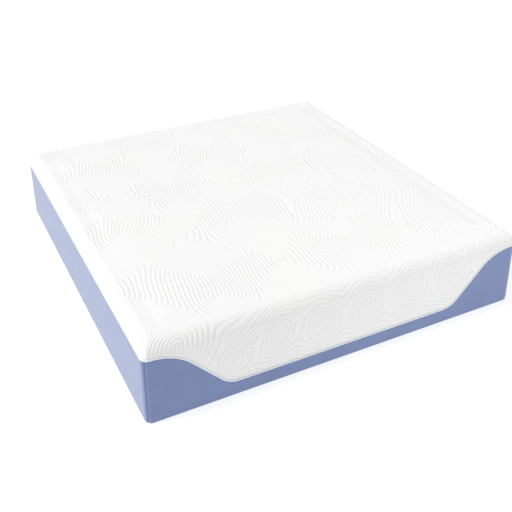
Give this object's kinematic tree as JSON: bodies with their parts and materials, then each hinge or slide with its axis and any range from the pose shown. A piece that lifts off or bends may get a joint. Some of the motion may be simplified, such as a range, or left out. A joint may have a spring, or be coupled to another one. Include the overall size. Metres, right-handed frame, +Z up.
{
  "type": "memory foam mattress",
  "caption": "Thick king-size foam mattress: white knit top with aprons over S-shaped seams, blue fabric borders, layered foam core and a zipped cover.",
  "frame": {"origin": "middle of the underside, on the surface that the mattress lies on", "axes": "+Z up to the sleeping surface, +Y towards the head end, +X towards the right-hand side seen from the foot"},
  "size_m": [1.9316, 2.035, 0.4],
  "materials": {
    "white_knit": "soft white stretch knit with a raised swirl relief",
    "blue_knit": "matt periwinkle-blue heathered knit",
    "white_binding": "smooth white woven binding",
    "bottom_fabric": "grey non-slip fabric with small grip dots",
    "sock_knit": "undyed fire-barrier knit",
    "padding": "white fibre wadding",
    "support_foam": "firm open-cell foam",
    "transition_foam": "medium open-cell foam",
    "memory_foam": "dense slow-recovery foam",
    "gel_foam": "soft gel-infused foam",
    "zip_fabric": "woven polyester tape and nylon coil",
    "zip_metal": "satin nickel plate"
  },
  "bodies": {
    "mattress": {"top_cover": "white_knit", "foot_border": "blue_knit", "head_border": "blue_knit", "left_border": "blue_knit", "right_border": "blue_knit", "foot_binding": "white_binding", "head_binding": "white_binding", "left_binding": "white_binding", "right_binding": "white_binding", "corner_seam_foot_left": "blue_knit", "corner_seam_foot_right": "blue_knit", "corner_seam_head_left": "blue_knit", "corner_seam_head_right": "blue_knit", "bottom_panel": "bottom_fabric", "quilt_padding": "padding", "fire_sock": "sock_knit", "support_foam": "support_foam", "transition_foam": "transition_foam", "memory_foam": "memory_foam", "gel_memory_foam": "gel_foam", "zip_tape_upper": "zip_fabric", "zip_tape_lower": "zip_fabric", "zip_chain": "zip_fabric", "zip_stop_left": "zip_metal", "zip_stop_right": "zip_metal"},
    "slider": {"zip_slider": "zip_metal"},
    "pull": {"zip_pull": "zip_metal"}
  },
  "joints": [
    {"name": "zip_slide", "type": "slide", "parent": "mattress", "child": "slider", "axis": [-1, 0, 0], "range_m": [0, 1.768]},
    {"name": "pull_swing", "type": "hinge", "parent": "slider", "child": "pull", "pos_m": [0.884, 1.0168, 0.04], "axis": [1, 0, 0], "range_deg": [0, 170]}
  ]
}
